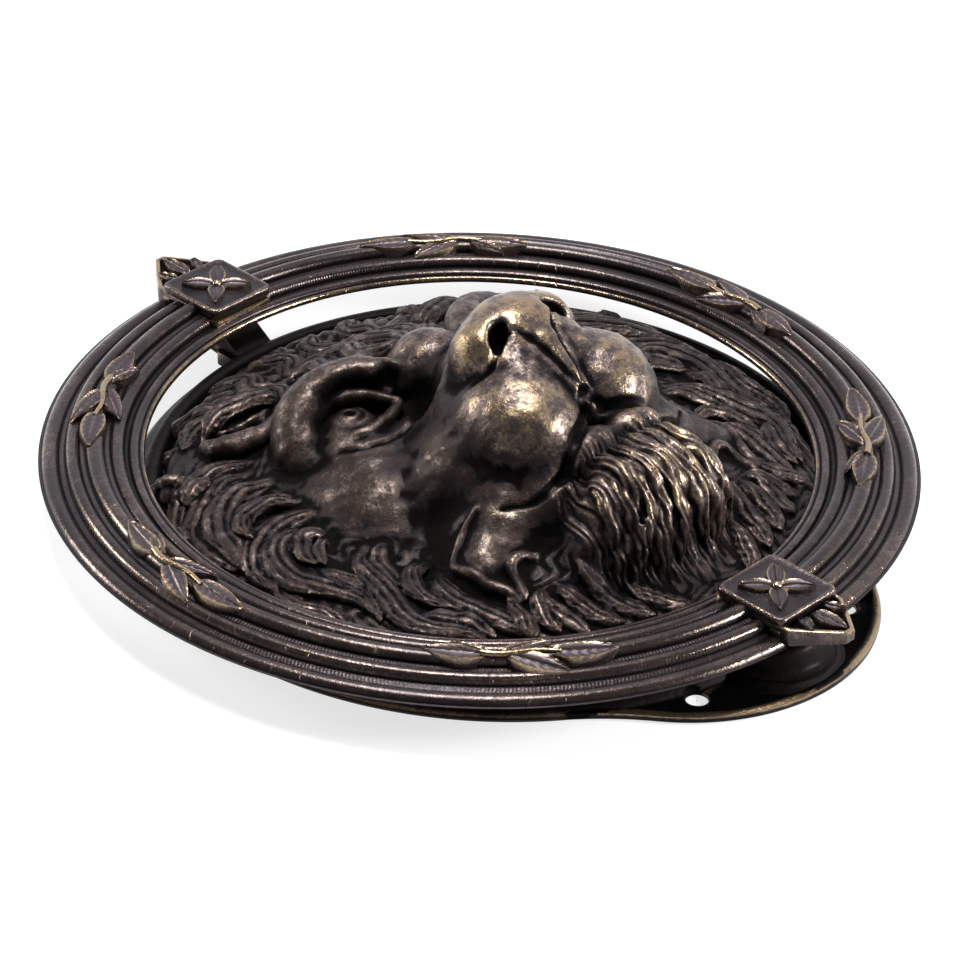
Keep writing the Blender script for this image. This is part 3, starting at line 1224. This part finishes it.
PLATE_Y, PLATE_FOOT, DISH_RADIUS = -5.0, 80.5, 72.5
LOBE_Y, LOBE_RADIUS = -57.0, 43.2
FILLET_RADIUS = 70.0              # the hollow curves where the lobe grows out of the plate
PLATE_STEPS = 300
DOOR_SCREWS = [(-23.3, -84.0), (23.3, -84.0)]
MASK_SCREWS = [(-34, 26), (34, 26), (-34, -34), (34, -34)]
BOSS_Y = 36.0
LUG_HALF = 5.0


def turned_solid(profile, x, y, steps):
    """A solid of revolution about a vertical axis, from (radius, height) points that start and end
    near the axis."""
    points, faces = swept(profile, np.linspace(0, 2 * math.pi, steps, endpoint=False), True)
    return points + (x, y, 0), faces


DISH_PROFILE = [(0.05, 0), (79.6, 0), (80.3, 0.2), (80.5, 0.8), (80.2, 1.4), (79.0, 2.7), (77.4, 4.3), (76.3, 5.7),
                (75.8, 6.3), (75.1, 6.6), (74.2, 6.65), (73.4, 6.5), (72.8, 6.0), (72.4, 5.0), (72.0, 4.3),
                (71.2, 4.0), (60, 4.0), (0.05, 4.0)]
# distance in from the lobe's edge, height. Its underside lies a hair above the plate's, so that the two don't
# share a plane.
LOBE_EDGE = [(0.6, 0.03), (0.1, 0.3), (0, 0.9), (0.2, 1.5), (0.8, 1.85), (1.6, 1.8), (2.2, 1.45), (3.0, 1.1), (7.2, 0.95)]
ANVIL_SEAT = [(0.05, 0.2), (15.5, 0.2), (15.5, 0.9), (14.6, 1.3), (13.8, 2.1), (13.2, 2.55), (0.05, 2.55)]


def lobe_outline():
    """The lobe seen from above, with the hollow curves where it grows out of the plate."""
    a, b = PLATE_FOOT + FILLET_RADIUS, LOBE_RADIUS + FILLET_RADIUS
    gap = PLATE_Y - LOBE_Y
    down = (a * a - b * b + gap * gap) / (2 * gap)
    centre = np.array([math.sqrt(a * a - down * down), PLATE_Y - down])
    on_plate = centre + (np.array([0, PLATE_Y]) - centre) * FILLET_RADIUS / a
    on_lobe = centre + (np.array([0, LOBE_Y]) - centre) * FILLET_RADIUS / b
    last, first = (math.atan2(*(p - centre)[::-1]) % (2 * math.pi) for p in (on_plate, on_lobe))
    turns = np.linspace(first, last, 26)
    hollow = centre + FILLET_RADIUS * np.column_stack([np.cos(turns), np.sin(turns)])
    corner = math.atan2(on_lobe[1] - LOBE_Y, on_lobe[0])
    turns = np.linspace(-math.pi - corner, corner, 110)[1:-1]
    round_end = LOBE_RADIUS * np.column_stack([np.cos(turns), np.sin(turns)]) + (0, LOBE_Y)
    return np.vstack([round_end, hollow, hollow[::-1] * (-1, 1)])


def lug():
    """The knuckle at the plate's upper edge that stands between the ring's ears."""
    turns = np.radians(np.linspace(-90, 112, 28))
    arc = [(PIN_Y + KNUCKLE_RADIUS * math.cos(a), PIN_Z + KNUCKLE_RADIUS * math.sin(a)) for a in turns]
    side = np.array([(66, 1.4)] + arc + [(76.5, 9.3), (71, 5.8), (66, 5.6)])
    middle = side.mean(0)
    loops = []
    for x, shrink in ((-LUG_HALF, 0.9), (0.6 - LUG_HALF, 1), (LUG_HALF - 0.6, 1), (LUG_HALF, 0.9)):
        loops.append(np.column_stack([np.full(len(side), x), middle + (side - middle) * (1 if shrink == 1 else 0.96)]))
    foot = rounded_square(12, 2) * (1, 0.9) + (0, 73)
    return [stack(loops), stack([at_height(foot, 1.4), at_height(foot, 4.6), at_height(inset(foot, 0.9), 5.3)])]


def cutter(solids):
    points, faces = join_solids(solids)
    tool = new_object("cutter", points, faces)
    return tool


def cut(piece, solids):
    """Takes solids away from a piece."""
    tool = cutter(solids)
    bore = piece.modifiers.new("bore", "BOOLEAN")
    bore.operation, bore.object, bore.solver = "DIFFERENCE", tool, "EXACT"
    apply_modifiers(piece)
    bpy.data.objects.remove(tool)


def hole(profile, x, y):
    return turned_solid(profile, x, y, 32)


def pin_bore():
    turns = np.linspace(0, 2 * math.pi, 32, endpoint=False)
    circle = np.column_stack([PIN_Y + 2.2 * np.cos(turns), PIN_Z + 2.2 * np.sin(turns)])
    return stack([np.column_stack([np.full(32, x), circle]) for x in (-8.5, 8.5)])


def sheltered(points, wear):
    """Hands only reach the plate's outer edge, so the dish and the place round the anvil stay grimy."""
    past_foot = np.where(points[:, 1] < -70, 0.5, -1)    # over the lobe the foot is out of reach too
    in_dish = np.hypot(points[:, 0], points[:, 1] - PLATE_Y) < PLATE_FOOT + past_foot
    by_anvil = np.hypot(points[:, 0], points[:, 1] + BLOCK_Y) < 16
    return np.where(in_dish | by_anvil, 0.3 * wear - 0.55, wear)


def make_plate():
    outline = lobe_outline()
    lobe = stack([at_height(inset(outline, inward), z) for inward, z in LOBE_EDGE])
    solids = [turned_solid(DISH_PROFILE, 0, PLATE_Y, PLATE_STEPS), lobe,
              turned_solid(ANVIL_SEAT, 0, -BLOCK_Y, 96), *lug()]
    holes = [hole([(0.05, -1), (2.4, -1), (2.4, 0.75), (3.0, 1.3), (3.0, 8), (0.05, 8)], x, y) for x, y in DOOR_SCREWS]
    holes += [hole([(0.05, -1), (4.6, -1), (4.6, 2.4), (2.7, 2.4), (2.7, 8), (0.05, 8)], x, y) for x, y in MASK_SCREWS]
    holes.append(hole([(0.05, -1), (6.3, -1), (6.3, 8), (0.05, 8)], 0, BOSS_Y))
    holes.append(hole([(0.05, -1), (4.6, -1), (4.6, 0), (2.8, 1.8), (2.8, 3.6), (0.05, 3.6)], 0, -BLOCK_Y))
    parts = []
    for solid in solids:
        part = new_object("part", *solid)
        cut(part, holes + [pin_bore()])
        points = np.array([v.co for v in part.data.vertices]) / MM
        parts.append((points, [list(p.vertices) for p in part.data.polygons]))
        bpy.data.objects.remove(part)
    points, faces = join_solids(parts)
    piece = make_piece("back_plate_cast", points, faces, PLATE_BRONZE, "plate", "plate", ["backplate"], 1.0, 40)
    change_wear(piece, sheltered)


ANVIL_PROFILE = [(0.05, 2.6), (13.0, 2.6), (13.0, 3.0), (12.3, 3.3), (11.6, 4.0), (11.1, 5.0), (10.8, 6.2), (10.4, 7.2),
                 (9.7, 8.0), (8.7, 8.45), (7.4, 8.6), (0.05, 8.6)]


def make_anvil():
    anvil = turned_solid(ANVIL_PROFILE, 0, -BLOCK_Y, 96)
    piece = new_object("anvil_cast", *anvil)
    cut(piece, [hole([(0.05, 0), (2.5, 0), (2.5, 7.2), (0.05, 7.2)], 0, -BLOCK_Y)])
    finish_piece(piece, STRIKE_BRONZE, "plate", "strike", ["strike_anvil"], 1.0, 40)


make_plate()
make_anvil()

# ---------------------------------------------------------------- carried-over CAD nodes

CARRIED = {
    "plate": PLATE_BRONZE, "mask": HEAD_BRONZE, "ring": RING_BRONZE, "ornament": ORNAMENT_BRONZE,
    "strike": STRIKE_BRONZE, "steel": STEEL,
}
FIXINGS = ("mask_screw", "anvil_screw", "hinge_pin")


def dress_carried_nodes():
    for name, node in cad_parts.items():
        slot = "steel" if name.startswith(FIXINGS) else "strike"
        node.data.materials.clear()
        node.data.materials.append(CARRIED[slot])


dress_carried_nodes()


# ---------------------------------------------------------------- floor and light

FLOOR_SIDE = 12.0
FLOOR_DROP = 0.0002
FLOOR_GLOW = 0.72                 # white paper lit from all round, which leaves only faint shadows
SKY_WAY = Vector((0.8, 0.55, 0.28)).normalized()


def make_floor():
    half = FLOOR_SIDE / 2
    mesh = bpy.data.meshes.new("floor")
    mesh.from_pydata([(x * half, y * half, -FLOOR_DROP) for x, y in ((-1, -1), (1, -1), (1, 1), (-1, 1))], [],
                     [(0, 1, 2, 3)])
    floor = bpy.data.objects.new("floor", mesh)
    bpy.context.scene.collection.objects.link(floor)
    n = Nodes("pale_floor")
    paper = n.mix(n.noise(8, 2), (0.34, 0.34, 0.345, 1), (0.37, 0.37, 0.375, 1))
    n.link(paper, n.shader.inputs["Base Color"])
    n.shader.inputs["Roughness"].default_value = 0.9
    n.shader.inputs["Specular IOR Level"].default_value = 0.1
    n.shader.inputs["Emission Color"].default_value = (1, 1, 1, 1)
    n.shader.inputs["Emission Strength"].default_value = FLOOR_GLOW
    mesh.materials.append(n.material)


def area_light(name, way, reach, side, power, tint):
    data = bpy.data.lights.new(name, "AREA")
    data.shape, data.size, data.size_y = "RECTANGLE", side[0], side[1]
    data.energy, data.color = power, tint
    lamp = bpy.data.objects.new(name, data)
    bpy.context.scene.collection.objects.link(lamp)
    lamp.location = way.normalized() * reach
    lamp.rotation_mode = "QUATERNION"
    lamp.rotation_quaternion = way.to_track_quat("Z", "Y")


def make_sky():
    """A soft tent, brightest above and behind the knocker and dim towards the front."""
    world = bpy.data.worlds.new("studio")
    bpy.context.scene.world = world
    world.use_nodes = True
    tree = world.node_tree
    place = tree.nodes.new("ShaderNodeTexCoord")
    facing = tree.nodes.new("ShaderNodeVectorMath")
    facing.operation = "DOT_PRODUCT"
    facing.inputs[1].default_value = SKY_WAY
    tree.links.new(place.outputs["Generated"], facing.inputs[0])
    glow = tree.nodes.new("ShaderNodeMapRange")
    glow.interpolation_type = "SMOOTHSTEP"
    for name, number in (("From Min", 0.0), ("From Max", 1.0), ("To Min", 0.14), ("To Max", 1.38)):
        glow.inputs[name].default_value = number
    tree.links.new(facing.outputs["Value"], glow.inputs["Value"])
    background = tree.nodes["Background"]
    background.inputs["Color"].default_value = (0.97, 0.94, 1.0, 1)
    tree.links.new(glow.outputs["Result"], background.inputs["Strength"])


def make_light():
    make_sky()
    area_light("key", Vector((0.02, 0.12, 1.0)), 0.9, (0.3, 0.3), 12.0, (1.0, 0.98, 0.96))
    area_light("side", Vector((-0.45, 0.85, 0.32)), 1.0, (0.3, 0.3), 6.0, (1.0, 0.97, 0.92))
    area_light("front", Vector((0.5, -0.75, 0.4)), 1.1, (0.4, 0.25), 19.0, (1.0, 0.98, 0.96))
    bpy.context.scene.view_settings.view_transform = "Standard"


make_floor()
make_light()
